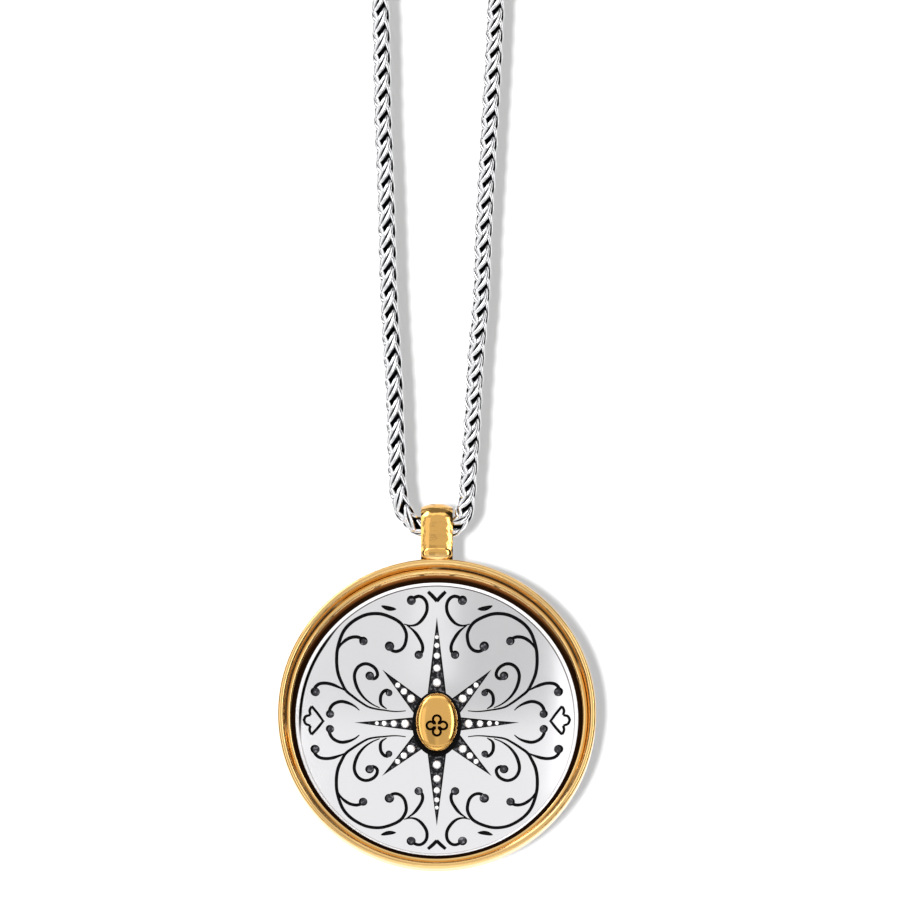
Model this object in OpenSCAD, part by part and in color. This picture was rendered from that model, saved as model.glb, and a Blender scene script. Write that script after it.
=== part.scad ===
// Round medallion pendant on a long wheat chain.
// Z is up and the face looks along -Y. The origin is under the clasp, at the crown of the loop,
// where the necklace hangs. Inside the medallion's own modules the axis of the disc is Z, with
// the front up, and place_medallion() turns it to the front.

/* [Bezel] */
// Outer diameter of the round band at the front of the bezel
bezel_d = 50; // [48:0.5:54]
// Depth of the bezel behind the middle of the front band's height
bezel_back = 3.4; // [3:0.1:3.8]
// Thickness of the band's round front edge
band_t = 1; // [0.8:0.1:1.2]
// Thickness of the bead inside the band
bead_t = 0.84; // [0.7:0.02:0.9]

/* [Face] */
// Depth of the middle of the dished face, below the bezel's middle plane
face_depth = 4.6; // [4.2:0.1:4.8]
// Rise of the dished floor from its middle to its edge
face_sag = 3; // [2.4:0.1:3.4]
// Thickness of the face's sheet
face_t = 0.5; // [0.4:0.05:0.6]
// Depth of the sunk star
star_cut = 0.22; // [0.15:0.01:0.25]

/* [Cabochon] */
// Width of the gold oval
oval_w = 6.6; // [6:0.1:7]
// Height of the gold oval
oval_h = 9.4; // [9:0.1:10]
// Height of the oval's upright edge above the floor
oval_edge = 1.4; // [1:0.1:1.6]
// Height of the dome on that edge
oval_dome = 1.1; // [0.8:0.1:1.3]

/* [Bail] */
// Width of the bail's band, side to side
bail_w = 5; // [4.2:0.1:5.2]
// Outer radius of the round top and of the round foot
bail_r = 3.7; // [3.5:0.05:3.8]
// Straight length between the round top and the round foot
bail_leg = 3.9; // [3.6:0.1:4.2]
// Distance of the chain's axis below the middle of the round top
chain_drop = 0.5; // [0:0.05:0.6]

/* [Chain] */
// Thickness of the chain
chain_d = 3; // [2.6:0.1:3]
// Clearance between the chain and the bail
chain_gap = 0.3; // [0.3:0.05:0.5]
// Length of the barrel clasp
clasp_len = 12; // [10:1:14]
// Diameter of the barrel clasp
clasp_d = 4.2; // [3.8:0.1:4.6]

/* [Hidden] */

gold = "#dba550";
silver = "#d9dade";
fit = 0.1;
slit = 0.02;

// Heights in the loop: the chain's axis in the bail, and the middle of the medallion
crown_z = clasp_d / 2;
bail_axis_z = -363.5;
bail_z = bail_axis_z + chain_drop;
bezel_r = bezel_d / 2;
band_r = band_t / 2;
bead_r = bead_t / 2;
bail_sink = 1.65;
disc_z = bail_z - bail_leg - bail_r + bail_sink - bezel_r;
disc_y = -0.2;

// Section of the bezel, from its outside to its inside
band_mid = bezel_r - band_r;
band_top = 2.8;
band_low = 0.8;
groove_r = bezel_r - 1.26;
bead_mid = groove_r - bead_r + 0.01;
bead_h = 1.3;
wall_top_r = bead_mid - bead_r;
lip_r = wall_top_r - 0.44;
lip_h = 0.1;
lip_under = lip_h - 0.25;
pocket_r = lip_r + 0.3;
case_back_r = bezel_r - 1.8;
back_round = 0.2;

// Section of the bail, the solder block under it, and its heel: half sizes, and where it lies
hole_r = chain_d / 2 + chain_gap;
bail_out_r = 5.2;
bail_in_r = 5.8;
seat_w = 3.8;
seat_t = 3;
seat_low = 23.6;
heel = [2.45, 0.9, 1.3];
heel_y = -2.9;
heel_up = 25.9;

// The dished face: a cap of a large sphere, with a raised edge
edge_r = pocket_r - fit;
edge_h = lip_under - fit;
floor_r = lip_r - 0.8;
edge_in_r = lip_r - 0.1;
floor_edge_h = face_sag - face_depth;
ball_r = (floor_r * floor_r + face_sag * face_sag) / (2 * face_sag);
ball_h = ball_r - face_depth;
back_gap = 0.25;
back_t = 0.5;
back_rim_h = -bezel_back + 0.1;
blank_t = 8;

// Rays of the star: direction, length, half width at the middle
RAYS = [[0, 13, 1.5], [45, 12.2, 1.95], [90, 16.9, 2.05]];
// Beads on a ray: direction, distance from the middle, radius
BEADS = [
    [0, 5, 0.66], [0, 6.8, 0.52], [0, 8.3, 0.42], [0, 9.45, 0.32],
    [45, 5.75, 0.66], [45, 7.35, 0.54], [45, 8.75, 0.43],
    [90, 6.65, 0.68], [90, 8.95, 0.6], [90, 10.9, 0.52], [90, 12.5, 0.42], [90, 13.8, 0.32],
];
bead_lift = 0.2;
surround = 0.6;

// Quatrefoil sunk in the cabochon, with a raised cross that ends in round knobs
leaf_r = 0.8;
leaf_at = 1;
leaf_low = 0.8;
knob_r = 0.42;
arm_w = 0.28;
leaf_cut = 0.4;

// The chain's middle line from the bail to the clasp, left and right: across, and up from the
// bail's axis. The seen part follows the strands, and the hidden part leans on to the clasp.
LEFT = [
    [-1.2, 0.02], [-2.4, 0.25], [-3.6, 0.9], [-4.7, 2], [-5.5, 3.5], [-6, 5.3], [-6.3, 8],
    [-6.45, 12], [-6.6, 17], [-6.85, 24], [-7.3, 31], [-7.75, 40], [-8, 49], [-8.35, 60],
    [-8.7, 68], [-8.85, 77], [-9.1, 86], [-10, 105], [-11, 130], [-12.4, 165], [-13.8, 200],
    [-15, 235], [-16.1, 270], [-16.8, 300], [-17.1, 330], [-17, 348],
];
RIGHT = [
    [1.2, 0.02], [2.3, 0.25], [3.3, 0.95], [4.1, 2.2], [4.5, 3.8], [4.75, 6], [5, 10],
    [5.45, 16], [6.1, 28], [6.95, 38], [7.3, 48], [7.95, 60], [8.4, 68], [8.9, 77], [9.3, 86],
    [10.2, 105], [11.1, 130], [12.4, 165], [13.8, 200], [15, 235], [16.1, 270], [16.8, 300],
    [17.1, 330], [17, 348],
];
CROWN = [[16.5, 354.5], [14.6, 360.1], [11.4, 364.1], [8, 365.5]];
chain_sides = 10;

// Route of the whole chain, from one end of the clasp round to the other
function mirrored(pts) = [for (p = pts) [-p[0], p[1]]];
function backwards(pts) = [for (i = [len(pts) - 1:-1:0]) pts[i]];
chain_end = clasp_len / 2 + fit;
crown_up = crown_z - bail_axis_z;
route = concat(
    [[-chain_end, crown_up]], backwards(mirrored(CROWN)), backwards(LEFT), [[0, 0]],
    RIGHT, CROWN, [[chain_end, crown_up]]
);

// Places a module whose axis is Z, with the front up, in the loop with its front on -Y
module place_medallion() {
    translate([0, disc_y, disc_z]) rotate([90, 0, 0]) children();
}

// Half of the bezel's cross-section: across is the radius, up is the front
module bezel_section() {
    translate([band_mid, band_top]) circle(r = band_r, $fn = 40);
    translate([band_mid, band_low]) circle(r = band_r, $fn = 40);
    translate([band_mid, band_low]) square([band_r, band_top - band_low]);
    translate([bead_mid, bead_h]) circle(r = bead_r, $fn = 40);
    polygon([
        [wall_top_r, bead_h], [lip_r, lip_h], [lip_r, lip_under], [pocket_r, lip_under],
        [pocket_r, -bezel_back], [case_back_r - back_round, -bezel_back],
        [case_back_r, back_round - bezel_back], [band_mid, band_low], [band_mid, band_top],
        [band_mid - band_r, band_top], [groove_r, bead_h], [bead_mid, bead_h],
    ]);
}

// Cross-section of the bail's band: across is the distance from the middle of its round top, up
// is the band's width. Both faces are rounded, so that the hole flares towards its two mouths.
module bail_section() {
    intersection() {
        translate([bail_r - bail_out_r, 0]) circle(r = bail_out_r, $fn = 120);
        translate([hole_r + bail_in_r, 0]) circle(r = bail_in_r, $fn = 120);
        translate([0, -bail_w / 2]) square([bail_r + 1, bail_w]);
    }
}

// The bail: a round top, two straight legs and a round foot, with the hole along X
module bail() {
    rotate([0, 90, 0]) {
        rotate([0, 0, 90]) rotate_extrude(angle = 180, $fn = 96) bail_section();
        for (side = [0, 1]) mirror([0, side, 0])
            rotate([0, 90, 0]) rotate([0, 0, 90]) linear_extrude(bail_leg) bail_section();
        translate([bail_leg, 0, 0]) rotate([0, 0, -90])
            rotate_extrude(angle = 180, $fn = 96) bail_section();
    }
}

// Solder block that joins the bail's foot to the bezel's case
module bail_seat() {
    translate([-seat_w / 2, -seat_t / 2, disc_z + seat_low])
        cube([seat_w, seat_t, bezel_r - seat_low + 0.2]);
}

// Rounded heel of the bail, which laps over the top of the bezel's band
module bail_heel() {
    translate([0, heel_y, disc_z + heel_up]) scale(heel) sphere(r = 1, $fn = 48);
}

module bezel() {
    color(gold) {
        place_medallion() rotate_extrude($fn = 180) bezel_section();
        translate([0, 0, bail_z]) bail();
        bail_seat();
        bail_heel();
    }
}

// The large ball whose surface is the dished floor, grown by an amount. It is turned so that the
// seam of the ball lies between two rays of the star.
module floor_ball(grow) {
    translate([0, 0, ball_h]) rotate([0, 0, 22.5]) sphere(r = ball_r + grow, $fn = 240);
}

// Outline of the star and of the oval ground round the cabochon
module star_outline() {
    for (ray = RAYS, turn = [0, 90, 180, 270])
        if (turn < 180 || ray[0] == 45) rotate(turn + ray[0]) ray_outline(ray[1], ray[2]);
    scale([oval_w / 2 + surround, oval_h / 2 + surround]) circle(r = 1, $fn = 64);
}

module ray_outline(length, half_w) {
    polygon([[length, 0], [0, half_w], [0, -half_w]]);
}

// Height of the star's ground at a distance from the middle
function ground_h(r) = ball_h - sqrt(pow(ball_r + star_cut, 2) - r * r);

module star_beads() {
    for (bead = BEADS, flip = [0, 1], turn = bead[0] == 45 ? [0, 90] : [0])
        rotate(turn + bead[0] + 180 * flip)
            translate([bead[1], 0, ground_h(bead[1]) + bead_lift]) sphere(r = bead[2], $fn = 24);
}

module face() {
    color(silver) place_medallion() {
        difference() {
            intersection() {
                translate([0, 0, -blank_t]) cylinder(r = edge_r, h = blank_t + edge_h, $fn = 180);
                floor_ball(face_t);
            }
            floor_ball(0);
            rotate_extrude($fn = 180) polygon([
                [0, floor_edge_h], [floor_r, floor_edge_h], [edge_in_r, edge_h],
                [edge_in_r, edge_h + 1], [0, edge_h + 1],
            ]);
            intersection() {
                translate([0, 0, -blank_t]) linear_extrude(blank_t) star_outline();
                floor_ball(star_cut);
            }
        }
        star_beads();
    }
}

// Outline of the sunk quatrefoil, less its raised cross
module quatrefoil() {
    difference() {
        union() {
            for (a = [0:90:270]) rotate(a) translate([leaf_at, 0]) circle(r = leaf_r, $fn = 40);
            square(leaf_at, center = true);
        }
        for (a = [0:90:270]) rotate(a) {
            translate([leaf_at, 0]) circle(r = knob_r, $fn = 32);
            translate([0, -arm_w / 2]) square([leaf_at, arm_w]);
        }
    }
}

module cabochon() {
    top_h = oval_edge + oval_dome - face_depth;
    color(gold) place_medallion() difference() {
        intersection() {
            union() {
                translate([0, 0, -face_depth - 1]) scale([oval_w / 2, oval_h / 2, 1])
                    cylinder(r = 1, h = 1 + oval_edge, $fn = 72);
                translate([0, 0, oval_edge - face_depth])
                    scale([oval_w / 2, oval_h / 2, oval_dome]) sphere(r = 1, $fn = 72);
            }
            floor_ball(star_cut - slit);
        }
        translate([0, -leaf_low, top_h - leaf_cut]) linear_extrude(1) quatrefoil();
    }
}

// Plain back: a thin domed disc behind the face
module back_plate() {
    color(silver) place_medallion() difference() {
        intersection() {
            translate([0, 0, -blank_t])
                cylinder(r = edge_r, h = blank_t + back_rim_h + back_t, $fn = 180);
            floor_ball(face_t + back_gap + back_t);
        }
        floor_ball(face_t + back_gap);
    }
}

// Direction of the route at a point, and one ring of points across it
function unit(v) = v / norm(v);
function along(i) = unit(route[min(i + 1, len(route) - 1)] - route[max(i - 1, 0)]);
function ring(i) = let (p = route[i], t = along(i))
    [for (k = [0:chain_sides - 1]) let (a = 360 * k / chain_sides, s = chain_d / 2)
        [p[0] - t[1] * s * cos(a), s * sin(a), bail_axis_z + p[1] + t[0] * s * cos(a)]];

// The chain as a plain tube along its route
module chain() {
    n = chain_sides;
    last = len(route) - 1;
    color(silver) polyhedron(
        points = [for (i = [0:last]) each ring(i)],
        faces = concat(
            [[for (k = [0:n - 1]) k]],
            [for (i = [0:last - 1], k = [0:n - 1])
                [i * n + k, (i + 1) * n + k, (i + 1) * n + (k + 1) % n, i * n + (k + 1) % n]],
            [[for (k = [n - 1:-1:0]) last * n + k]]
        )
    );
}

// Plain barrel clasp, lying along X over the origin
module clasp() {
    r = clasp_d / 2;
    c = 0.5;
    half = clasp_len / 2;
    color(silver) translate([0, 0, crown_z]) rotate([0, 90, 0]) rotate_extrude($fn = 64)
        polygon([[0, -half], [r - c, -half], [r, c - half], [r, half - c], [r - c, half], [0, half]]);
}

bezel();
face();
cabochon();
back_plate();
chain();
clasp();
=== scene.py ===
"""A round medallion on a long wheat chain: gold bezel and bail, engraved silver face."""
from bisect import bisect_right
import math

import bmesh
import bpy
from mathutils import Matrix, Vector


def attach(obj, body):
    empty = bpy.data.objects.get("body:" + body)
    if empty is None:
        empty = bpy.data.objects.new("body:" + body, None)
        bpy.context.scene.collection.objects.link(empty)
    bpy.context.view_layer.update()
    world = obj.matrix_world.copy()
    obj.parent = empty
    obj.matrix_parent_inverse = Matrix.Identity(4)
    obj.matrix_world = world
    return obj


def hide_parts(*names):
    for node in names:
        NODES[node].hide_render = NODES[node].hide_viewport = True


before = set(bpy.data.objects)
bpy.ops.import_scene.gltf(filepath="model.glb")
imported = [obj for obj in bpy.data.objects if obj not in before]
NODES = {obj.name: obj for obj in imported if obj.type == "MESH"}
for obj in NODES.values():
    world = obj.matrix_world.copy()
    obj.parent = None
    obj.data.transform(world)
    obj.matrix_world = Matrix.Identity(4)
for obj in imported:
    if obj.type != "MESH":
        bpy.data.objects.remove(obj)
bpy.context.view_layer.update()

MM = 0.001

# Where the CAD has things, in millimetres: the chain's axis in the bail, and the medallion's middle
BAIL_AXIS_Z = -363.5
DISC_Y = -0.2
DISC_Z = -393.95

# From millimetres across, up and forward of the medallion's middle to metres in the frame
MEDALLION = Matrix(((MM, 0, 0, 0), (0, 0, -MM, DISC_Y * MM), (0, MM, 0, DISC_Z * MM), (0, 0, 0, 1)))

# The dished face: a curved floor with a slanting rim round it
FACE_DEPTH = 4.6
FACE_SAG = 3.0
FLOOR_R = 21.67
RIM_IN_R = 22.37
EDGE_R = 22.67
EDGE_H = -0.25
SHEET_T = 0.5

# The ball that the floor is part of: its radius, and how far forward its middle is
BALL_R = (FLOOR_R ** 2 + FACE_SAG ** 2) / (2 * FACE_SAG)
BALL_H = BALL_R - FACE_DEPTH

# The gold oval on the middle of the face, and the sunk ground left round it
OVAL_W, OVAL_H, OVAL_EDGE, OVAL_DOME, SURROUND = 6.6, 9.4, 1.4, 1.1, 0.6


def floor_h(r, depth=0.0):
    """Height forward of the medallion's middle, at a distance from its axis, on the floor's ball
    or on a larger one that lies a depth under it."""
    return BALL_H - math.sqrt((BALL_R + depth) ** 2 - r * r)


def dish_h(r):
    """Height of the face's surface, floor or rim, at a distance from the medallion's axis."""
    if r <= FLOOR_R:
        return floor_h(r)
    rim_foot = FACE_SAG - FACE_DEPTH
    return rim_foot + (r - FLOOR_R) / (RIM_IN_R - FLOOR_R) * (EDGE_H - rim_foot)


def direction(turn, rise):
    """The direction of a place in the studio: turn 0 is the camera's side, turn -90 the left."""
    a, e = math.radians(turn), math.radians(rise)
    return Vector((math.sin(a) * math.cos(e), -math.cos(a) * math.cos(e), math.sin(e)))


def rounded(points, step):
    """Points along a smooth curve through the given ones, about a step apart."""
    points = [Vector(p) for p in points]
    ends = [2 * points[0] - points[1]] + points + [2 * points[-1] - points[-2]]
    line = []
    for a, b, c, d in zip(ends, ends[1:], ends[2:], ends[3:]):
        pieces = max(1, round((c - b).length / step))
        for i in range(pieces):
            t = i / pieces
            line.append(0.5 * (2 * b + (c - a) * t + (2 * a - 5 * b + 4 * c - d) * t * t
                               + (3 * b - a - 3 * c + d) * t ** 3))
    return line + [points[-1]]


def into_scene(obj):
    bpy.context.scene.collection.objects.link(obj)
    return obj


def as_mesh(name, bm):
    """A mesh made from a bmesh, which is used up."""
    mesh = bpy.data.meshes.new(name)
    bm.to_mesh(mesh)
    bm.free()
    return mesh


def as_object(name, bm):
    return bpy.data.objects.new(name, as_mesh(name, bm))


def merged(parts):
    """One bmesh from several, which are used up."""
    whole = bmesh.new()
    for bm in parts:
        mesh = as_mesh("part", bm)
        whole.from_mesh(mesh)
        bpy.data.meshes.remove(mesh)
    return whole


def shade(piece, sharp):
    """Smooth shading, but for edges sharper than an angle."""
    for face in piece.data.polygons:
        face.use_smooth = True
    piece.data.set_sharp_from_angle(angle=math.radians(sharp))


def finish_piece(name, bm, body, material, node, sharp=35):
    """Turns a bmesh into a smooth piece that rides on a body in place of a node."""
    piece = into_scene(as_object(name, bm))
    piece.data.materials.append(material)
    shade(piece, sharp)
    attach(piece, body)
    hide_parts(node)


# The camera's view in the photo: degrees of rise, millimetres across and away, and what it looks at
VIEW_RISE = -14.5
VIEW_WIDTH = 142.3
VIEW_FAR = 2000.0
VIEW_CENTRE = Vector((2.07, DISC_Y, DISC_Z + 43.42))
SENSOR_WIDTH = 36


def make_camera():
    """A long lens, looking up a little at the medallion as the photograph does."""
    camera = into_scene(bpy.data.objects.new("camera", bpy.data.cameras.new("camera")))
    back = direction(0, VIEW_RISE)
    camera.location = (VIEW_CENTRE + back * VIEW_FAR) * MM
    camera.rotation_euler = (-back).to_track_quat("-Z", "Y").to_euler()
    camera.data.sensor_width = SENSOR_WIDTH
    camera.data.lens = SENSOR_WIDTH * VIEW_FAR / VIEW_WIDTH
    camera.data.clip_start, camera.data.clip_end = 0.05, 50
    bpy.context.scene.camera = camera


def linear(hex_colour):
    """An sRGB hex colour as linear red, green, blue and alpha."""
    parts = [int(hex_colour[i:i + 2], 16) / 255 for i in (1, 3, 5)]
    return [p / 12.92 if p <= 0.04045 else ((p + 0.055) / 1.055) ** 2.4 for p in parts] + [1.0]


# Settings that nodes share: a Map Range node that goes smoothly from 0 to 1, and a Mix node of two
# colours, which are its sockets 6 and 7
SMOOTH = {"interpolation_type": "SMOOTHSTEP"}
COLOURS = {"output": 2, "data_type": "RGBA"}


def add(tree, kind, output=0, **values):
    """Adds a node and gives one of its outputs. A value goes to the socket or the property of its
    name, or to the socket with the number after an underscore. An output is linked to the socket,
    and a hex colour becomes linear."""
    node = tree.nodes.new("ShaderNode" + kind)
    for name, value in values.items():
        socket = int(name[1:]) if name[0] == "_" else name.replace("_", " ")
        if isinstance(socket, str) and socket not in node.inputs:
            setattr(node, name, value)
        elif isinstance(value, bpy.types.NodeSocket):
            tree.links.new(value, node.inputs[socket])
        else:
            node.inputs[socket].default_value = linear(value) if isinstance(value, str) else value
    return node.outputs[output]


def new_material(name):
    """A material with nodes; gives the material, its tree and its shader."""
    material = bpy.data.materials.new(name)
    material.use_nodes = True
    tree = material.node_tree
    return material, tree, tree.nodes["Principled BSDF"]


def medallion_polar(tree):
    """In millimetres: the distance from the medallion's axis, the height forward of its middle, and
    a vector of how far across and up."""
    place = add(tree, "TexCoord", "Object")
    local = add(tree, "Mapping", Vector=place, Location=(0, -DISC_Y, -DISC_Z),
                Scale=(1 / MM, 1 / MM, 1 / MM))
    parts = add(tree, "SeparateXYZ", Vector=local).node.outputs
    flat = add(tree, "CombineXYZ", X=parts["X"], Y=parts["Z"])
    radius = add(tree, "VectorMath", "Value", operation="LENGTH", _0=flat)
    forward = add(tree, "Math", operation="MULTIPLY", _0=parts["Y"], _1=-1.0)
    return radius, forward, flat


def between(tree, value, low, high, soft):
    """A mask that is 1 from low to high and fades out over a soft edge on both sides."""
    rising = add(tree, "MapRange", **SMOOTH, Value=value, From_Min=low - soft, From_Max=low)
    falling = add(tree, "MapRange", **SMOOTH, Value=value, From_Min=high, From_Max=high + soft,
                  To_Min=1.0, To_Max=0.0)
    return add(tree, "Math", operation="MULTIPLY", _0=rising, _1=falling)


# Most values of a noise texture lie between these
NOISE_LOW, NOISE_HIGH = 0.3, 0.7


def polish(tree, shader, scale_mm, low, high, bump=0.0, deep=0.05):
    """Uneven polish: the roughness wanders a little, and so does the surface, by a bump of some
    depth in millimetres."""
    place = add(tree, "TexCoord", "Object")
    noise = add(tree, "TexNoise", Vector=place, Scale=1 / (scale_mm * MM), Detail=3.0)
    rough = add(tree, "MapRange", Value=noise, From_Min=NOISE_LOW, From_Max=NOISE_HIGH,
                To_Min=low, To_Max=high)
    tree.links.new(rough, shader.inputs["Roughness"])
    if bump != 0.0:
        dent = add(tree, "Bump", Height=noise, Strength=bump, Distance=deep * MM)
        tree.links.new(dent, shader.inputs["Normal"])


GOLD = "#EAC180"
OVAL_GOLD = "#DDAC60"
# A paler gold painted in the groove, to take out the orange of its own inter-reflections
GROOVE_GOLD = "#E6C488"
# Painted shade and dark reflection for the bezel's inner wall, and a lighter brown painted near its
# top
PAINTED_SHADE = "#150903"
PAINTED_SHADE_LIGHTER = "#6A3E1C"
# Painted dark reflections in patches along the groove
GROOVE_PAINTED_DARK = "#241006"
OVAL_WASH = "#120803"

# The bezel's places of painted shade, as distances from the medallion's axis in millimetres: the
# slanting wall inside the bead, which leans inwards towards the top and is painted a lighter brown
# there on its outer part, and the groove between the bead and the band, under a height
WALL_IN, WALL_OUT, WALL_SOFT, WALL_LEAN = 22.1, 22.97, 0.04, 0.009
LIGHTER_IN, LIGHTER_OUT = 22.6, 22.95
LIGHTER_UP_FROM, LIGHTER_UP_TO = 6, 21
GROOVE_IN, GROOVE_OUT, GROOVE_SOFT, GROOVE_TOP = 23.68, 23.8, 0.06, 2.2

# The painted dark reflections in patches along the groove: where each is, in degrees clockwise
# from the top, and the least cosine from there that it reaches to
PATCHES = [(292, 0.86), (35, 0.78), (125, 0.95), (233, 0.95)]
PATCH_SOFT = 0.06

# The bail is above these heights over the medallion's axis; its gold is painted darker and deeper,
# as shade, and it is more dented
BAIL_FROM, BAIL_TO = 25.2, 25.8
DENTED_FROM, DENTED_TO = 25.5, 26.5


def gold_plate():
    """Polished gold plate on cast brass: a warm yellow mirror. Painted shade and dark reflection,
    matt brown to black, cover the slanting wall inside the bead; painted dark reflections lie in
    patches along the band's groove, which is painted a paler gold between them, and the bail is
    painted a darker gold, as shade."""
    material, tree, shader = new_material("polished_gold_plate")
    radius, forward, flat = medallion_polar(tree)
    up = add(tree, "SeparateXYZ", "Y", Vector=flat)
    # Painted shade and dark reflection on the slanting wall inside the bead; the mask leans inwards
    # towards the top
    drawn_in = add(tree, "Math", operation="MULTIPLY_ADD", _0=up, _1=WALL_LEAN, _2=radius)
    wall = between(tree, drawn_in, WALL_IN, WALL_OUT, WALL_SOFT)
    # A lighter brown is painted on the wall's outer part towards the top
    outer = add(tree, "MapRange", **SMOOTH, Value=drawn_in, From_Min=LIGHTER_IN, From_Max=LIGHTER_OUT)
    upper = add(tree, "MapRange", **SMOOTH, Value=up, From_Min=LIGHTER_UP_FROM,
                From_Max=LIGHTER_UP_TO)
    lighter = add(tree, "Math", operation="MULTIPLY", _0=outer, _1=upper)
    dark_tone = add(tree, "Mix", **COLOURS, Factor=lighter, _6=PAINTED_SHADE, _7=PAINTED_SHADE_LIGHTER)
    # Painted shade: the bail's gold is a darker copy of the bezel's
    on_bail = add(tree, "MapRange", **SMOOTH, Value=up, From_Min=BAIL_FROM, From_Max=BAIL_TO)
    plate = add(tree, "Mix", **COLOURS, Factor=on_bail, _6=GOLD, _7=OVAL_GOLD)
    shaded = add(tree, "Mix", **COLOURS, Factor=wall, _6=plate, _7=dark_tone)
    unit = add(tree, "VectorMath", operation="NORMALIZE", _0=flat)
    # Painted dark reflections, in patches round the groove by angle
    patches = 0.0
    for turn, least in PATCHES:
        angle = math.radians(turn)
        near = add(tree, "VectorMath", "Value", operation="DOT_PRODUCT", _0=unit,
                   _1=(math.sin(angle), math.cos(angle), 0))
        patch = add(tree, "MapRange", **SMOOTH, Value=near, From_Min=least,
                    From_Max=least + PATCH_SOFT)
        patches = add(tree, "Math", operation="MAXIMUM", _0=patches, _1=patch)
    sunk = between(tree, radius, GROOVE_IN, GROOVE_OUT, GROOVE_SOFT)
    low = add(tree, "Math", operation="LESS_THAN", _0=forward, _1=GROOVE_TOP)
    groove = add(tree, "Math", operation="MULTIPLY", _0=sunk, _1=low)
    # In the groove: painted dark reflections in the patches, painted paler gold between them
    deep = add(tree, "Mix", **COLOURS, Factor=patches, _6=GROOVE_GOLD, _7=GROOVE_PAINTED_DARK)
    colour = add(tree, "Mix", **COLOURS, Factor=groove, _6=shaded, _7=deep)
    tree.links.new(colour, shader.inputs["Base Color"])
    dark_groove = add(tree, "Math", operation="MULTIPLY", _0=groove, _1=patches)
    dull = add(tree, "Math", operation="MAXIMUM", _0=wall, _1=dark_groove)
    bare = add(tree, "Math", operation="SUBTRACT", _0=1.0, _1=dull)
    tree.links.new(bare, shader.inputs["Metallic"])
    shader.inputs["Specular IOR Level"].default_value = 0.0
    dented = add(tree, "MapRange", Value=up, From_Min=DENTED_FROM, From_Max=DENTED_TO,
                 To_Min=0.02, To_Max=0.35)
    polish(tree, shader, 2.2, 0.06, 0.1, dented, 0.3)
    return material


def oval_gold():
    """The same gold on the domed oval, with black patina in its sunk quatrefoil."""
    material, tree, shader = new_material("polished_gold_oval")
    shader.inputs["Metallic"].default_value = 1.0
    _, forward, flat = medallion_polar(tree)
    part = add(tree, "VectorMath", operation="MULTIPLY", _0=flat, _1=(2 / OVAL_W, 2 / OVAL_H, 0))
    square = add(tree, "VectorMath", "Value", operation="DOT_PRODUCT", _0=part, _1=part)
    left = add(tree, "Math", operation="SUBTRACT", use_clamp=True, _0=1.0, _1=square)
    root = add(tree, "Math", operation="SQRT", _0=left)
    edge_h = OVAL_EDGE - FACE_DEPTH
    dome = add(tree, "Math", operation="MULTIPLY_ADD", _0=root, _1=OVAL_DOME, _2=edge_h)
    depth = add(tree, "Math", operation="SUBTRACT", _0=dome, _1=forward)
    sunk = add(tree, "MapRange", **SMOOTH, Value=depth, From_Min=0.05, From_Max=0.09)
    on_dome = add(tree, "MapRange", **SMOOTH, Value=forward, From_Min=edge_h + 0.1,
                  From_Max=edge_h + 0.2)
    dark_tone = add(tree, "Math", operation="MULTIPLY", _0=sunk, _1=on_dome)
    colour = add(tree, "Mix", **COLOURS, Factor=dark_tone, _6=OVAL_GOLD, _7=OVAL_WASH)
    tree.links.new(colour, shader.inputs["Base Color"])
    polish(tree, shader, 2.2, 0.10, 0.16, 0.02)
    return material


# Brushed lines: millimetres from one to the next, how long they run, and how deep they are
BRUSH_GAP, BRUSH_RUN, BRUSH_DEEP = 0.3, 9, 0.02


def brushed_silver(name, along):
    """Silver plate, brushed along one axis, 0 to 2: fine lines spread its shine into a satin grey.
    The lines are coarser than the real ones, so that they show."""
    material, tree, shader = new_material(name)
    shader.inputs["Metallic"].default_value = 1.0
    scale = [1 / (BRUSH_GAP * MM)] * 3
    scale[along] = 1 / (BRUSH_RUN * MM)
    drawn = add(tree, "Mapping", Vector=add(tree, "TexCoord", "Object"), Scale=scale)
    lines = add(tree, "TexNoise", Vector=drawn, Scale=1.0, Detail=3.0)
    bright = add(tree, "MapRange", **SMOOTH, Value=lines, From_Min=NOISE_LOW, From_Max=NOISE_HIGH)
    colour = add(tree, "Mix", **COLOURS, Factor=bright, _6="#96969C", _7="#D2D2D6")
    tree.links.new(colour, shader.inputs["Base Color"])
    rough = add(tree, "MapRange", Value=lines, From_Min=NOISE_LOW, From_Max=NOISE_HIGH,
                To_Min=0.26, To_Max=0.4)
    tree.links.new(rough, shader.inputs["Roughness"])
    cut = add(tree, "Bump", Height=lines, Strength=0.3, Distance=BRUSH_DEEP * MM)
    tree.links.new(cut, shader.inputs["Normal"])
    return material


# The painted line of shade and dark reflection along the floor's edge is thickest and black towards
# this side, across and up
EDGE_SIDE = (-0.95, 0.31, 0)
EDGE_WIDER = 0.3

# The bezel's painted shade runs on to the rim from this distance, which leans in at the top and the
# foot
RIM_SHADE_IN, RIM_SHADE_OUT = 22.18, 22.26
RIM_LEAN_TOP, RIM_LEAN_FOOT = 0.0095, -0.006


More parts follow.
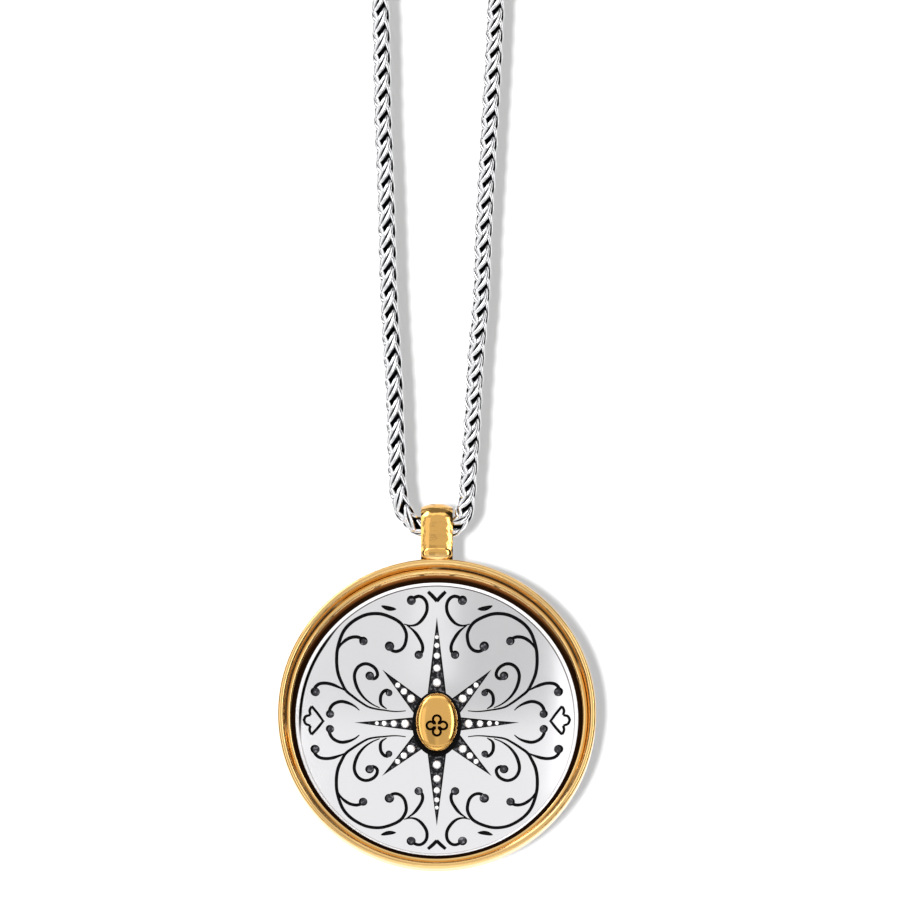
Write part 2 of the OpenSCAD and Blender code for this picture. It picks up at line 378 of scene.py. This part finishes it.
def face_silver():
    """The polished silver of the dished face. The rim is satin, with a painted line of shade and
    dark reflection along its foot, light grey to black, and the painted shade of the bezel's wall
    runs on to its outer edge."""
    material, tree, shader = new_material("polished_silver_dish")
    radius, _, flat = medallion_polar(tree)
    up = add(tree, "SeparateXYZ", "Y", Vector=flat)
    # A painted line of shade and dark reflection along the floor's edge: light grey at the foot,
    # darker towards the top, black and wider towards the left
    unit = add(tree, "VectorMath", operation="NORMALIZE", _0=flat)
    aside = add(tree, "VectorMath", "Value", operation="DOT_PRODUCT", _0=unit, _1=EDGE_SIDE)
    left = add(tree, "MapRange", **SMOOTH, Value=aside, From_Min=0.88, From_Max=0.97)
    upper = add(tree, "MapRange", **SMOOTH, Value=up, From_Min=-6, From_Max=8)
    line = add(tree, "Mix", **COLOURS, Factor=upper, _6="#D2D0D2", _7="#6A6668")
    line = add(tree, "Mix", **COLOURS, Factor=left, _6=line, _7="#0A0808")
    widened = add(tree, "Math", operation="MULTIPLY_ADD", _0=left, _1=EDGE_WIDER, _2=radius)
    at_line = add(tree, "MapRange", **SMOOTH, Value=widened, From_Min=FLOOR_R - 0.16,
                  From_Max=FLOOR_R - 0.04)
    past_line = add(tree, "MapRange", **SMOOTH, Value=radius, From_Min=FLOOR_R + 0.02,
                    From_Max=FLOOR_R + 0.1)
    silver = add(tree, "Mix", **COLOURS, Factor=at_line, _6="#EFEEF0", _7=line)
    silver = add(tree, "Mix", **COLOURS, Factor=past_line, _6=silver, _7="#F4F3F4")
    # Painted shade of the bezel's wall on the rim's outer edge, leaning in at the top and the foot
    at_top = add(tree, "Math", operation="MULTIPLY", _0=up, _1=RIM_LEAN_TOP)
    at_foot = add(tree, "Math", operation="MULTIPLY", _0=up, _1=RIM_LEAN_FOOT)
    lean = add(tree, "Math", operation="MAXIMUM", _0=at_top, _1=at_foot)
    drawn_in = add(tree, "Math", operation="ADD", _0=lean, _1=radius)
    dark_tone = add(tree, "MapRange", **SMOOTH, Value=drawn_in, From_Min=RIM_SHADE_IN,
               From_Max=RIM_SHADE_OUT)
    colour = add(tree, "Mix", **COLOURS, Factor=dark_tone, _6=silver, _7=PAINTED_SHADE)
    tree.links.new(colour, shader.inputs["Base Color"])
    shader.inputs["Specular IOR Level"].default_value = 0.0
    noise = add(tree, "TexNoise", Vector=add(tree, "TexCoord", "Object"), Scale=1 / (5 * MM),
                Detail=3.0)
    rough = add(tree, "MapRange", Value=noise, From_Min=NOISE_LOW, From_Max=NOISE_HIGH,
                To_Min=0.12, To_Max=0.18)
    rim = add(tree, "MapRange", **SMOOTH, Value=radius, From_Min=FLOOR_R, From_Max=FLOOR_R + 0.05)
    satin = add(tree, "Math", operation="MULTIPLY_ADD", _0=rim, _1=0.4, _2=rough)
    tree.links.new(satin, shader.inputs["Roughness"])
    plain = add(tree, "Math", operation="MULTIPLY_ADD", _0=rim, _1=-0.5, _2=1.0)
    bare = add(tree, "Math", operation="SUBTRACT", use_clamp=True, _0=plain, _1=dark_tone)
    tree.links.new(bare, shader.inputs["Metallic"])
    return material


def oxidised_silver(name, colour, lighter, wear, metal):
    """Oxidised silver in the cut lines: a dull black sulphide film, rubbed through to grey in
    places.
    """
    material, tree, shader = new_material(name)
    place = add(tree, "TexCoord", "Object")
    grain = add(tree, "TexNoise", Vector=place, Scale=1 / (0.45 * MM), Detail=2.0)
    rubbed = add(tree, "MapRange", **SMOOTH, Value=grain, From_Min=0.62 - wear,
                 From_Max=0.78 - wear)
    film = add(tree, "Mix", **COLOURS, Factor=rubbed, _6=colour, _7=lighter)
    tree.links.new(film, shader.inputs["Base Color"])
    shader.inputs["Metallic"].default_value = metal
    shader.inputs["Specular IOR Level"].default_value = 0.05 + 0.4 * metal
    polish(tree, shader, 0.3, 0.45, 0.6, 0.25 * metal)
    return material


def grain_silver():
    """The raised grains of the star: silver burnished to a soft white shine."""
    material, tree, shader = new_material("burnished_silver_grain")
    shader.inputs["Metallic"].default_value = 0.65
    shader.inputs["Base Color"].default_value = linear("#F8F7F8")
    polish(tree, shader, 0.6, 0.26, 0.36, 0.04)
    return material


def chain_silver():
    """Silver plated wire, tumbled bright outside. Black deep in between the links, for oxide and
    painted shade, and black where the wire turns under itself, a painted shade.
    """
    material, tree, shader = new_material("silver_wire_oxide_and_painted_shade")
    shader.inputs["Metallic"].default_value = 1.0
    depth = add(tree, "Attribute", "Fac", attribute_name="depth")
    # Black below a depth: oxide and painted shade between the links, and painted shade under the
    # wire; bright silver outside
    rubbed = add(tree, "MapRange", **SMOOTH, Value=depth, From_Min=1.2, From_Max=1.36)
    colour = add(tree, "Mix", **COLOURS, Factor=rubbed, _6="#060608", _7="#EAEAEC")
    tree.links.new(colour, shader.inputs["Base Color"])
    polish(tree, shader, 0.6, 0.12, 0.2)
    return material


# The chain's middle line, across and up from the bail's axis, as the CAD has it
LEFT = [
    (-1.2, 0.02), (-2.4, 0.25), (-3.6, 0.9), (-4.7, 2), (-5.5, 3.5), (-6, 5.3), (-6.3, 8),
    (-6.45, 12), (-6.6, 17), (-6.85, 24), (-7.3, 31), (-7.75, 40), (-8, 49), (-8.35, 60),
    (-8.7, 68), (-8.85, 77), (-9.1, 86), (-10, 105), (-11, 130), (-12.4, 165), (-13.8, 200),
    (-15, 235), (-16.1, 270), (-16.8, 300), (-17.1, 330), (-17, 348),
]
RIGHT = [
    (1.2, 0.02), (2.3, 0.25), (3.3, 0.95), (4.1, 2.2), (4.5, 3.8), (4.75, 6), (5, 10),
    (5.45, 16), (6.1, 28), (6.95, 38), (7.3, 48), (7.95, 60), (8.4, 68), (8.9, 77), (9.3, 86),
    (10.2, 105), (11.1, 130), (12.4, 165), (13.8, 200), (15, 235), (16.1, 270), (16.8, 300),
    (17.1, 330), (17, 348),
]
CROWN = [(16.5, 354.5), (14.6, 360.1), (11.4, 364.1), (8, 365.5), (6.1, 365.6)]

# A link of the chain, in millimetres: its wire, half its length and width, how far its middle is
# from the chain's axis, and how much it slants round the chain
WIRE_R = 0.38
LINK_LONG, LINK_SHORT, LINK_R = 2.42, 0.36, 1.12
LINK_SLANT = math.radians(27)
LINK_STEPS, WIRE_SIDES = 16, 6

# The chain: from one row of links to the next, how far the rows stay clear of the clasp, and the
# dark core, painted shade between the links that also stands in for the wires inside, with how far
# it stays clear
PITCH = 3.57
ROWS_SHORT = 1.5
CORE_R, CORE_SIDES, CORE_STEP, CORE_SHORT = 0.6, 8, 1.5, 0.8


def chain_line():
    """Points on the middle line, from one end of the clasp to the other, and how far along it each
    one is."""
    crown_left = [(-x, z) for x, z in CROWN]
    route = crown_left[::-1] + LEFT[::-1] + [(0, 0)] + RIGHT + CROWN
    points = [Vector((x, 0, z + BAIL_AXIS_Z)) for x, z in rounded(route, 0.4)]
    far = [0.0]
    for a, b in zip(points, points[1:]):
        far.append(far[-1] + (b - a).length)
    return points, far


def wire_link(side):
    """One link of the wheat chain: a long loop of wire that lies slanting round the chain, wide and
    outermost at its low end. Also gives how far out on its wire each vertex is, from -1 to 1."""
    bm = bmesh.new()
    bmesh.ops.create_circle(bm, segments=WIRE_SIDES, radius=WIRE_R, matrix=Matrix.Translation(
        (1, 0, 0)) @ Matrix.Rotation(math.pi / 2, 4, "X"))
    bmesh.ops.spin(bm, geom=bm.verts[:] + bm.edges[:], cent=(0, 0, 0), axis=(0, 0, 1),
                   angle=2 * math.pi, steps=LINK_STEPS, use_merge=True)
    crests = []

    def middle(t):
        along = LINK_LONG * math.cos(t)
        across = LINK_SHORT * math.sin(t) * (1 - 0.35 * math.cos(t))
        r = LINK_R - 0.15 * math.cos(t) ** 2 - 0.25 * math.cos(t)
        turn = (side * along * math.sin(LINK_SLANT) + across * math.cos(LINK_SLANT)) / LINK_R
        z = along * math.cos(LINK_SLANT) - side * across * math.sin(LINK_SLANT)
        return Vector((r * math.cos(turn), r * math.sin(turn), z))

    for vert in bm.verts:
        t = math.atan2(vert.co.y, vert.co.x)
        wide, thick = math.hypot(vert.co.x, vert.co.y) - 1, vert.co.z
        crests.append(thick / WIRE_R)
        point = middle(t)
        ahead = (middle(t + 0.02) - middle(t - 0.02)).normalized()
        out = Vector((point.x, point.y, 0)).normalized()
        flat = ahead.cross(out).normalized()
        vert.co = point + flat * wide + flat.cross(ahead) * thick
    bmesh.ops.recalc_face_normals(bm, faces=bm.faces)
    return bm, crests


def make_chain(material):
    """A straight wheat chain, one row of four links after another, bent to the necklace's line.
    It has two halves, because the links' wide ends point down on both strands."""
    links, crests = [], []
    for column in range(4):
        odd = column % 2
        link, link_crests = wire_link(-1 if odd else 1)
        bmesh.ops.transform(link, verts=link.verts, matrix=Matrix.Translation(
            (0, 0, PITCH / 2 * odd)) @ Matrix.Rotation(math.radians(45 + 90 * column), 4, "Z"))
        links.append(link)
        crests += link_crests
    row = as_mesh("row", merged(links))
    points, far = chain_line()

    def bent(x, y, s, half=1):
        """Where a point out from the straight chain's axis comes to lie on the necklace. The left
        half, -1, is the right one turned round the depth axis. On both, one column of links faces
        the front and a little right, and the strands twist a little."""
        s = min(max(s, 0.0), far[-1])
        at = min(bisect_right(far, s) - 1, len(far) - 2)
        t = (s - far[at]) / (far[at + 1] - far[at])
        before, after = points[max(at - 1, 0)], points[min(at + 2, len(points) - 1)]
        ahead = ((points[at + 1] - before) * (1 - t) + (after - points[at]) * t).normalized()
        side = Vector((ahead.z, 0, -ahead.x))
        roll = half * math.radians(56 + 6 * half + 5 * math.sin(16 * math.pi * s / far[-1]))
        x *= half
        out = side * (x * math.cos(roll) - y * math.sin(roll))
        out.y += x * math.sin(roll) + y * math.cos(roll)
        return (points[at].lerp(points[at + 1], t) + out) * MM

    chain = bmesh.new()
    middle = far[-1] / 2
    for i in range(2 * int((middle - ROWS_SHORT) / PITCH)):
        chain.from_mesh(row)
    # The depth tells the material how far out a place is, so that it is black deep between the
    # links, for oxide and painted shade, and black where the wire turns under itself, a painted
    # shade
    depth = chain.verts.layers.float.new("depth")
    for i, vert in enumerate(chain.verts):
        x, y, z = vert.co
        copy, place = divmod(i, len(crests))
        half = 1 if copy % 2 else -1
        vert[depth] = min(math.hypot(x, y) + 0.2, 1.28 + 0.3 * (crests[place] - 0.45))
        vert.co = bent(x, y, middle + half * ((copy // 2 + 0.4) * PITCH + z), half)
    # A dark core along the chain: painted shade in the gaps between the links, which also stands in
    # for the wires inside
    stations = int(far[-1] / CORE_STEP)
    core = as_mesh("core", bent_bar(stations, CORE_SIDES, lambda i, corner: bent(
        CORE_R * math.cos(2 * math.pi * corner / CORE_SIDES),
        CORE_R * math.sin(2 * math.pi * corner / CORE_SIDES),
        CORE_SHORT + (far[-1] - 2 * CORE_SHORT) * i / (stations - 1))))
    chain.from_mesh(core)
    for mesh in (row, core):
        bpy.data.meshes.remove(mesh)
    finish_piece("wheat_chain_links", chain, "necklace", material, "chain", 80)


# Engraved lines of one quarter, across and out from the middle, in millimetres
SCROLLS = {
    "great_scroll": [
        (4.9, 2.1), (6.1, 1.97), (7.2, 2.0), (8.4, 2.15), (9.6, 2.3), (10.8, 2.6), (12.0, 3.3),
        (13.2, 4.15), (14.3, 5.05), (14.95, 6.2), (15.5, 7.5), (15.75, 8.8), (15.8, 10.1),
        (15.7, 11.4), (15.3, 13.0), (14.7, 14.4), (13.8, 15.5), (12.6, 16.4), (11.25, 17.05),
        (9.9, 17.3), (8.7, 17.25), (7.5, 16.9), (6.4, 16.4), (5.6, 15.8), (5.05, 14.95),
        (4.8, 14.1), (4.9, 13.1), (5.2, 12.3), (5.8, 11.7), (6.6, 11.5), (7.3, 11.8)],
    "inner_scroll": [
        (9.0, 2.5), (10.2, 3.05), (11.4, 3.95), (12.3, 5.1), (12.8, 6.25), (13.0, 7.4),
        (12.8, 8.3), (12.3, 9.0), (11.55, 9.4), (10.8, 9.4), (10.0, 9.0), (9.5, 8.4),
        (9.35, 7.7), (9.7, 7.2), (10.4, 7.1)],
    "small_hook": [
        (7.9, 2.35), (8.75, 3.0), (8.9, 3.97), (8.7, 4.75), (8.15, 5.3), (7.55, 5.3)],
    "side_curl": [
        (15.6, 11.4), (15.1, 12.3), (14.4, 13.0), (13.6, 13.45), (12.6, 13.6), (11.8, 13.3)],
    "leaf_line": [
        (14.3, 5.0), (15.3, 5.5), (16.5, 5.95), (17.6, 6.1), (18.6, 5.9), (19.25, 5.2)],
    "low_leaf": [
        (12.2, 2.0), (12.9, 2.6), (13.8, 3.05), (14.9, 3.3), (15.8, 3.1), (16.5, 2.6),
        (16.9, 1.8)],
    "top_hook": [
        (5.2, 15.8), (4.15, 15.55), (3.1, 15.8), (2.2, 16.65), (1.6, 17.8), (1.6, 19.0),
        (2.1, 19.8), (2.85, 20.1), (3.65, 19.8)],
    "branch": [(4.75, 15.6), (3.7, 14.8), (2.9, 13.8), (2.3, 12.6), (2.3, 11.6)],
}
# The scrolls are cut in passes, because copies in one cutter must not overlap
SCROLL_PASSES = [["great_scroll"], ["inner_scroll", "side_curl", "top_hook"],
                 ["small_hook", "leaf_line", "branch"], ["low_leaf"]]
# The punched dot at each scroll's end: across, out and radius
BULBS = {
    "great_scroll": (7.4, 12.2, 0.8), "inner_scroll": (10.5, 7.5, 0.74),
    "small_hook": (7.5, 4.9, 0.6), "side_curl": (11.5, 12.9, 0.72), "leaf_line": (19.0, 4.6, 0.76),
    "low_leaf": (16.7, 1.2, 0.7), "top_hook": (4.0, 19.3, 0.76), "branch": (2.85, 10.95, 0.72),
}
LEAF_MARK = [(8.8, 18.5), (7.6, 18.15), (6.4, 18.1)]
# The open tulip at each side, stroke by stroke; they run a little past the middle line
TULIP = [[(17.8, -0.15), (18.75, 1.15), (19.72, 2.3)],
         [(19.72, 2.3), (20.02, 1.6), (19.9, 0.85)],
         [(19.9, 0.85), (20.65, 0.6), (20.95, -0.15)]]

# A graver's cut: its width, how deep it goes and how far its cutter stands proud of the dish
LINE_W = 0.55
CUT_DEPTH = 0.18
CUT_PROUD = 0.25

# The star: each ray's direction, length and half width; its grains' direction, distance from the
# middle and radius; how deep its ground is cut, and how far its raised pads stand up from there
RAYS = [(0, 13, 1.5), (45, 12.2, 1.95), (90, 16.9, 2.05)]
BEADS = [
    (0, 5, 0.66), (0, 6.8, 0.52), (0, 8.3, 0.42), (0, 9.45, 0.32),
    (45, 5.75, 0.66), (45, 7.35, 0.54), (45, 8.75, 0.43),
    (90, 6.65, 0.68), (90, 8.95, 0.6), (90, 10.9, 0.52), (90, 12.5, 0.42), (90, 13.8, 0.32),
]
STAR_CUT = 0.22
PAD_UP = 0.08
BEAD_LIFT = 0.2

# The face's materials, in the order of its slots
SILVER, LINE, GROUND, PUNCH = range(4)


def bent_bar(stations, corners, place):
    """A bar of a few sides with closed ends, each corner of each station put where place says."""
    bm = bmesh.new()
    bmesh.ops.create_circle(bm, segments=corners, radius=1)
    bmesh.ops.spin(bm, geom=bm.verts[:] + bm.edges[:], dvec=(0, 0, 1), axis=(0, 0, 1), angle=0,
                   steps=stations - 1)
    bmesh.ops.holes_fill(bm, edges=[e for e in bm.edges if e.is_boundary], sides=corners)
    for vert in bm.verts:
        corner = round(math.atan2(vert.co.y, vert.co.x) / (2 * math.pi) * corners) % corners
        vert.co = place(round(vert.co.z), corner)
    bmesh.ops.recalc_face_normals(bm, faces=bm.faces)
    if bm.calc_volume(signed=True) < 0:
        bmesh.ops.reverse_faces(bm, faces=bm.faces)
    return bm


def graver_cut(points, width=LINE_W, taper=0.3, both_ends=False):
    """The metal a graver takes out along a line: a narrow tapered trough that follows the dish."""
    line = rounded(points, 0.3)

    def place(i, corner):
        ahead = (line[min(i + 1, len(line) - 1)] - line[max(i - 1, 0)]).normalized()
        part = i / (len(line) - 1)
        grown = math.sin(math.pi * part) ** 0.7 if both_ends else min(1, part / 0.35)
        half = width / 2 * (taper + (1 - taper) * grown)
        wide, high = ((1.6, CUT_PROUD), (-1.6, CUT_PROUD), (-0.5, -CUT_DEPTH),
                      (0.5, -CUT_DEPTH))[corner]
        at = line[i] + Vector((-ahead.y, ahead.x)) * half * wide
        return Vector((at.x, at.y, dish_h(at.length) + high))

    return bent_bar(len(line), 4, place)


def bulb_cut(across, out, r):
    """A round punch at the end of a line, a little narrower at its bottom."""
    bm = bmesh.new()
    low, high = dish_h(math.hypot(across, out)) - CUT_DEPTH, CUT_PROUD + CUT_DEPTH
    bmesh.ops.create_cone(bm, cap_ends=True, segments=28, radius1=r - 0.22, radius2=r + 0.16,
                          depth=high, matrix=Matrix.Translation((across, out, low + high / 2)))
    return bm


def outline_cut(corners, low, high):
    """An upright block with a given outline, from low to high."""
    bm = bmesh.new()
    verts = [bm.verts.new((x, y, low)) for x, y in corners]
    bottom = bmesh.ops.contextual_create(bm, geom=verts)["faces"]
    grown = bmesh.ops.extrude_face_region(bm, geom=bottom)["geom"]
    bmesh.ops.translate(bm, vec=(0, 0, high - low),
                        verts=[g for g in grown if isinstance(g, bmesh.types.BMVert)])
    bmesh.ops.recalc_face_normals(bm, faces=bm.faces)
    return bm


def turned(profile, steps):
    """A solid of revolution about the medallion's axis from its closed profile of (r, h)."""
    bm = bmesh.new()
    verts = [bm.verts.new((r, 0, h)) for r, h in profile]
    for a, b in zip(verts, verts[1:]):
        bm.edges.new((a, b))
    if profile[0][0] > 0:
        bm.edges.new((verts[-1], verts[0]))
    bmesh.ops.spin(bm, geom=bm.verts[:] + bm.edges[:], cent=(0, 0, 0), axis=(0, 0, 1),
                   angle=2 * math.pi, steps=steps, use_merge=True)
    bmesh.ops.remove_doubles(bm, verts=bm.verts, dist=0.001)
    bmesh.ops.recalc_face_normals(bm, faces=bm.faces)
    return bm


def combine(base, tool, operation):
    """Cuts, joins or intersects an object with a tool, which is used up."""
    for obj in (base, tool):
        if not obj.users_collection:
            into_scene(obj)
    modifier = base.modifiers.new("work", "BOOLEAN")
    modifier.object, modifier.operation, modifier.solver = tool, operation, "MANIFOLD"
    worked = bpy.data.meshes.new_from_object(
        base.evaluated_get(bpy.context.evaluated_depsgraph_get()))
    base.modifiers.clear()
    spent = base.data, tool.data
    base.data = worked
    bpy.data.objects.remove(tool)
    for mesh in spent:
        bpy.data.meshes.remove(mesh)


def quartered(bm_maker):
    """Four mirrored copies of a cut, one for each quarter of the face."""
    for across in (1, -1):
        for up in (1, -1):
            bm = bm_maker()
            bmesh.ops.scale(bm, vec=(across, up, 1), verts=bm.verts)
            if across * up < 0:
                bmesh.ops.reverse_faces(bm, faces=bm.faces)
            yield bm


def star_block(inset, top, bottom, with_oval):
    """The star's rays as one block between two depths under the dish, drawn in by an inset."""
    star = None
    surround = [(math.cos(a) * (OVAL_W / 2 + SURROUND), math.sin(a) * (OVAL_H / 2 + SURROUND))
                for a in [2 * math.pi * i / 64 for i in range(64)]]
    shapes = [surround] if with_oval else []
    for direct, length, half in RAYS:
        shrink = inset * math.hypot(length, half)
        for turn in ((direct,) if direct != 45 else (45, 135)):
            along = Vector((math.cos(math.radians(turn)), math.sin(math.radians(turn))))
            side = Vector((-along.y, along.x))
            far, wide = length - shrink / half, half - shrink / length
            shapes.append([tuple(along * far), tuple(side * wide), tuple(along * -far),
                           tuple(side * -wide)])
    for shape in shapes:
        block = as_object("star_block", outline_cut(shape, -7, 0.5))
        if star is None:
            star = block
        else:
            combine(star, block, "UNION")
    if not with_oval:
        combine(star, as_object("surround", outline_cut(surround, -8, 1)), "DIFFERENCE")
    rings = [18 * i / 24 for i in range(25)]
    upper = [(r, floor_h(r, top)) for r in rings]
    lower = [(r, floor_h(r, bottom)) for r in reversed(rings)]
    combine(star, as_object("ground", turned(upper + lower, 160)), "INTERSECT")
    return star


def chevron_strokes(side):
    """The strokes on one side, 1 or -1, of the chevrons cut at the top and the foot of the face."""
    return [graver_cut([(1.4 * side, 20.8 * up), (0.7 * side, 20.15 * up),
                        (-0.05 * side, 19.35 * up)], 0.62, 0.85) for up in (1, -1)]


def face_cutters():
    """What is cut out of the dish after the star, pass by pass. No two shapes of a pass overlap,
    because the metal between such shapes would stay."""
    for names in SCROLL_PASSES:
        yield [bm for name in names for bm in quartered(
            lambda: graver_cut(SCROLLS[name] + [BULBS[name][:2]]))]
    yield [bm for bulb in BULBS.values() for bm in quartered(lambda: bulb_cut(*bulb))]
    leaves = quartered(lambda: graver_cut(LEAF_MARK, 0.75, 0.15, both_ends=True))
    yield list(leaves) + chevron_strokes(-1)
    yield chevron_strokes(1)
    for stroke in TULIP:
        cuts = list(quartered(lambda: graver_cut(stroke, 0.45, 0.85)))
        yield cuts[::2]
        yield cuts[1::2]


def make_face(materials):
    """The engraved silver dish: turned, and cut with the star, the scrolls and the small marks."""
    rings = [FLOOR_R * i / 26 for i in range(27)]
    front = [(r, dish_h(r)) for r in rings] + [(RIM_IN_R, EDGE_H), (EDGE_R, EDGE_H)]
    back = [(r, floor_h(r, SHEET_T))
            for r in [EDGE_R] + [FLOOR_R * i / 12 for i in range(12, -1, -1)]]
    face = as_object("engraved_face", turned(front + back, 192))
    combine(face, star_block(0, -2, STAR_CUT, True), "DIFFERENCE")
    combine(face, star_block(0.2, STAR_CUT - PAD_UP, STAR_CUT + 0.1, False), "UNION")
    for cuts in face_cutters():
        combine(face, as_object("cuts", merged(cuts)), "DIFFERENCE")
    mesh = face.data
    mesh.materials.clear()
    for material in materials:
        mesh.materials.append(material)
    for poly in mesh.polygons:
        poly.material_index = face_material(poly)
    mesh.transform(MEDALLION)
    shade(face, 30)
    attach(face, "pendant")
    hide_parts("face")


def face_material(poly):
    """Which of the face's materials a polygon has: the cut ones lie under the dish's surface."""
    x, y, z = poly.center
    r = math.hypot(x, y)
    sunk = dish_h(r) - z
    if r > FLOOR_R or sunk < 0.03 or sunk > SHEET_T - 0.1 or poly.normal.z < -0.5:
        return SILVER
    if poly.normal.z <= 0.9:
        return LINE
    if any(math.hypot(abs(x) - across, abs(y) - out) < size - 0.1
           for across, out, size in BULBS.values()):
        return PUNCH
    return GROUND if abs(sunk - STAR_CUT + PAD_UP) < 0.012 else LINE


def make_beads(material):
    """Round silver grains along the star's rays."""
    beads = bmesh.new()
    for direct, far, r in BEADS:
        for turn in ((direct, direct + 180) if direct != 45 else (45, 135, 225, 315)):
            angle = math.radians(turn)
            place = Vector((math.cos(angle) * far, math.sin(angle) * far,
                            floor_h(far, STAR_CUT) + BEAD_LIFT))
            bmesh.ops.create_uvsphere(beads, u_segments=20, v_segments=12, radius=r,
                                      matrix=Matrix.Translation(place))
    bmesh.ops.transform(beads, matrix=MEDALLION, verts=beads.verts)
    finish_piece("star_grains", beads, "pendant", material, "face")


# The stage: the wall behind the necklace, the floor far below it, and how large both are
WALL_Y = 62.0
FLOOR_Z = -2500.0
STAGE_SIZE = 6000.0


def one_sided(name, colour):
    """Matt pale board, seen only from its front, so that it never hides the object."""
    material, tree, shader = new_material(name)
    shader.inputs["Base Color"].default_value = linear(colour)
    shader.inputs["Roughness"].default_value = 0.9
    shader.inputs["Specular IOR Level"].default_value = 0.1
    behind = add(tree, "NewGeometry", "Backfacing")
    clear = add(tree, "BsdfTransparent")
    mixed = add(tree, "MixShader", Fac=behind, _1=shader.outputs[0], _2=clear)
    tree.links.new(mixed, tree.nodes["Material Output"].inputs["Surface"])
    return material


def board(name, matrix, colour):
    """A large flat board of the stage; its front is the side its own Z points to."""
    bm = bmesh.new()
    bmesh.ops.create_grid(bm, x_segments=1, y_segments=1, size=STAGE_SIZE / 2 * MM, matrix=matrix)
    piece = into_scene(as_object(name, bm))
    piece.data.materials.append(one_sided(name, colour))


def make_stage():
    board("pale_backdrop", Matrix.Translation((0, WALL_Y * MM, DISC_Z * MM)) @ Matrix.Rotation(
        math.pi / 2, 4, "X"), "#BCBCBC")
    board("pale_floor", Matrix.Translation((0, 0, FLOOR_Z * MM)), "#D8D8D8")


# The lamp that throws the shadow on the wall: where it is, in degrees and metres, its size in
# metres and its power in watts
LAMP_TURN, LAMP_RISE, LAMP_FAR = -1.9, -13.6, 3.0
LAMP_SIZE, LAMP_WATTS = 0.06, 170


def make_lamp():
    """A small square lamp that faces the medallion and is left out of its reflections."""
    light = bpy.data.lights.new("shadow_lamp", "AREA")
    light.shape, light.size, light.energy = "SQUARE", LAMP_SIZE, LAMP_WATTS
    lamp = into_scene(bpy.data.objects.new("shadow_lamp", light))
    back = direction(LAMP_TURN, LAMP_RISE)
    lamp.location = Vector((0, 0, DISC_Z * MM)) + back * LAMP_FAR
    lamp.rotation_euler = back.to_track_quat("Z", "Y").to_euler()
    lamp.visible_glossy = False


# The studio's soft panels and dark screens, as the reflections see them: from turn to turn and
# from rise to rise in degrees, soft edge, brightness. Turn 0 is the camera's side, -90 the left.
# Elsewhere the room has its own brightness.
ROOM = 0.62
PANELS = [
    (-36, 36, -22, 52, 5, 0.95),
    (2, 34, -24, 9, 6, 0.83),
    (-26, -3, -24, 9, 6, 0.66),
    (-3, 4, -24, 2, 3, 0.95),
    (-42, -27, -20, 30, 1, 1.35),
    (-180, 180, -90, -34, 4, 0.05),
    (-60, 60, -32, -26, 1.5, 1.2),
    (-100, -64, -20, 52, 4, 0.03),
    (-60, -48, -18, 40, 2, 2.2),
    (54, 96, -20, 62, 4, 0.04),
    (39, 47, -12, 36, 1.5, 5.0),
    (-180, 180, 64, 90, 4, 0.32),
    (-45, 45, 50, 59, 2, 1.7),
    (-64, -44, 42, 62, 3, 7.0),
    (-150, -108, -10, 60, 6, 0.95),
    (104, 150, -10, 60, 6, 0.9),
]


def make_world():
    """A pale studio: the light of the room, with soft panels and dark screens for the reflections.
    The camera itself sees plain white."""
    world = bpy.data.worlds.new("pale_studio")
    bpy.context.scene.world = world
    world.use_nodes = True
    tree = world.node_tree
    parts = add(tree, "SeparateXYZ", Vector=add(tree, "TexCoord", "Generated")).node.outputs
    front = add(tree, "Math", operation="MULTIPLY", _0=parts["Y"], _1=-1.0)
    turn = add(tree, "Math", operation="ARCTAN2", _0=parts["X"], _1=front)
    rise = add(tree, "Math", operation="ARCSINE", _0=parts["Z"])
    turn, rise = (add(tree, "Math", operation="DEGREES", _0=angle) for angle in (turn, rise))
    value = ROOM
    for left, right, low, high, soft, bright in PANELS:
        inside = add(tree, "Math", operation="MULTIPLY", _0=between(tree, turn, left, right, soft),
                     _1=between(tree, rise, low, high, soft))
        value = add(tree, "Mix", data_type="FLOAT", Factor=inside, _2=value, _3=bright)
    seen = add(tree, "LightPath", "Is Camera Ray")
    strength = add(tree, "Mix", data_type="FLOAT", Factor=seen, _2=value, _3=1.0)
    tree.links.new(strength, tree.nodes["Background"].inputs["Strength"])
    tree.nodes["Background"].inputs["Color"].default_value = linear("#FFFFFF")


bpy.context.scene.view_settings.view_transform = "Standard"
make_camera()
make_stage()
make_world()
make_lamp()
make_chain(chain_silver())
make_face([
    face_silver(),
    oxidised_silver("oxidised_silver_line", "#050506", "#101012", 0.0, 0.0),
    oxidised_silver("oxidised_silver_ground", "#0E0E10", "#46464A", 0.12, 0.3),
    oxidised_silver("oxidised_silver_punch", "#242427", "#606064", 0.1, 0.35),
])
make_beads(grain_silver())
for node, material in (("bezel", gold_plate()), ("cabochon", oval_gold()),
                       ("back_plate", brushed_silver("brushed_silver_reverse", 0)),
                       ("clasp", brushed_silver("brushed_silver_barrel", 1))):
    mesh = NODES[node].data
    mesh.materials.clear()
    mesh.materials.append(material)
